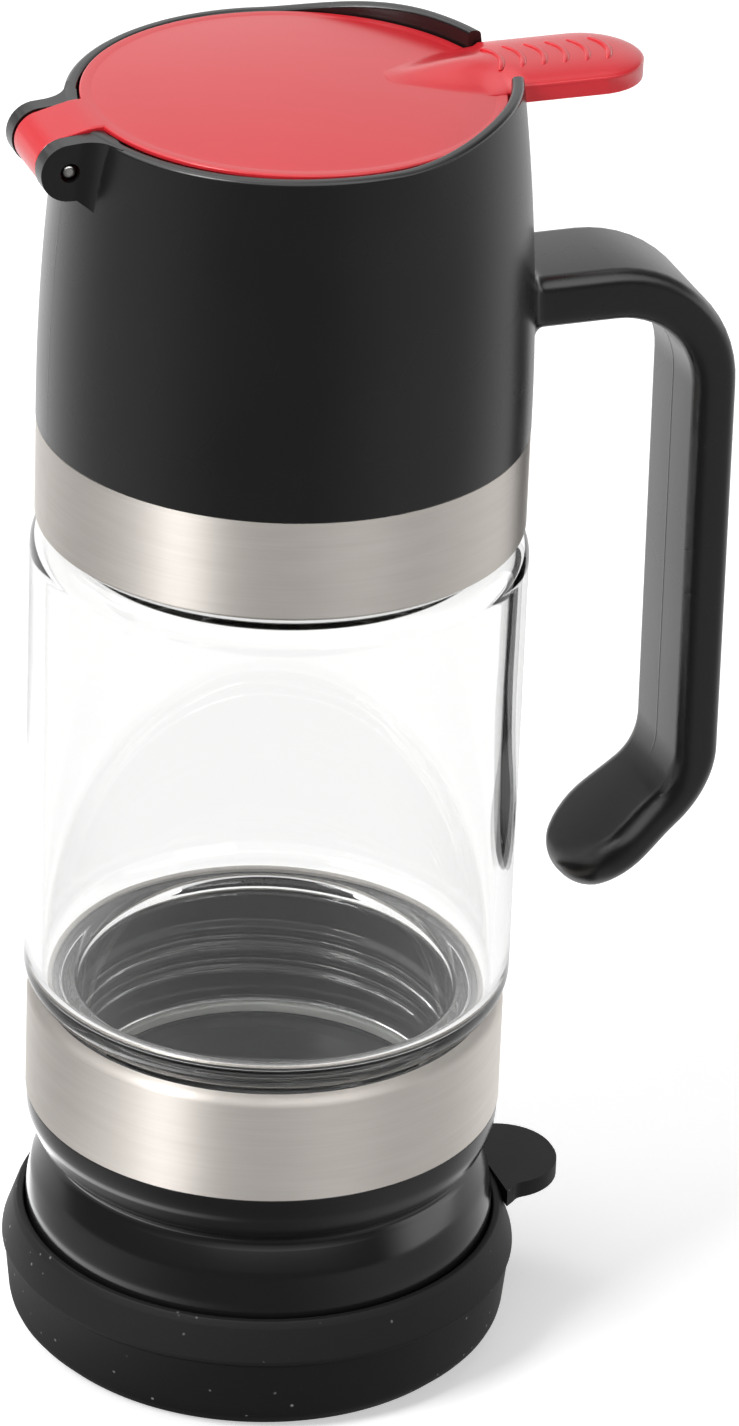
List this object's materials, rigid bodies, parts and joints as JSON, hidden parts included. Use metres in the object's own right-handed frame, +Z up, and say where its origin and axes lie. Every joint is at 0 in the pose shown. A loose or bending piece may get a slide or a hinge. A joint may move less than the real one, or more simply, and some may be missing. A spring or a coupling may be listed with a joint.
{
  "type": "syrup dispenser",
  "caption": "Glass syrup dispenser with a black collar and handle, a hinged red thumb-lever lid, steel bands, a pouring base and a silicone drip cap with a pull tab.",
  "frame": {"origin": "centre of the flat face that the dispenser rests on, on the axis of the bottle", "axes": "+Z up along the axis of the bottle, +X towards the handle and the thumb lever, -X towards the lid hinge"},
  "size_m": [0.1054, 0.0762, 0.1989],
  "materials": {
    "clear_glass": "clear pressed glass, slightly wavy, polished",
    "black_plastic": "satin moulded black plastic",
    "gloss_black_plastic": "glossy moulded black plastic",
    "red_plastic": "glossy moulded red plastic",
    "band_steel": "horizontally brushed stainless steel",
    "pin_steel": "plain steel",
    "black_silicone": "matte black silicone",
    "seal_silicone": "translucent white silicone",
    "white_plastic": "matte white plastic"
  },
  "bodies": {
    "cap": {"base_cap": "black_silicone"},
    "base": {"base": "gloss_black_plastic", "lower_band": "band_steel", "drip_valve": "seal_silicone", "valve_retainer": "white_plastic"},
    "lower_gasket_body": {"lower_gasket": "seal_silicone"},
    "bottle": {"glass_bottle": "clear_glass"},
    "upper_gasket_body": {"upper_gasket": "seal_silicone"},
    "collar": {"collar": "black_plastic", "inner_sleeve": "black_plastic", "upper_band": "band_steel", "hinge_pin": "pin_steel"},
    "lid": {"lid": "red_plastic", "lid_plug": "white_plastic", "lid_seal": "seal_silicone"}
  },
  "joints": [
    {"name": "cap_lift_off", "type": "slide", "parent": "cap", "child": "base", "axis": [0, 0, 1], "range_m": [0, 0.045]},
    {"name": "base_thread_advance", "type": "slide", "parent": "base", "child": "lower_gasket_body", "axis": [0, 0, 1], "range_m": [0, 0.0091]},
    {"name": "base_unscrew", "type": "hinge", "parent": "lower_gasket_body", "child": "bottle", "pos_m": [0, 0, 0.0365], "axis": [0, 0, 1], "range_deg": [0, 810]},
    {"name": "collar_thread_advance", "type": "slide", "parent": "bottle", "child": "upper_gasket_body", "axis": [0, 0, 1], "range_m": [0, 0.0091]},
    {"name": "collar_unscrew", "type": "hinge", "parent": "upper_gasket_body", "child": "collar", "pos_m": [0, 0, 0.15], "axis": [0, 0, 1], "range_deg": [0, 810]},
    {"name": "lid_hinge", "type": "hinge", "parent": "collar", "child": "lid", "pos_m": [-0.0349, 0, 0.1912], "axis": [0, -1, 0], "range_deg": [0, 100]}
  ],
  "couplings": [
    {"joint": "base_thread_advance", "follows": "base_unscrew", "m_per_rad": 0.00063662},
    {"joint": "collar_thread_advance", "follows": "collar_unscrew", "m_per_rad": 0.00063662}
  ]
}
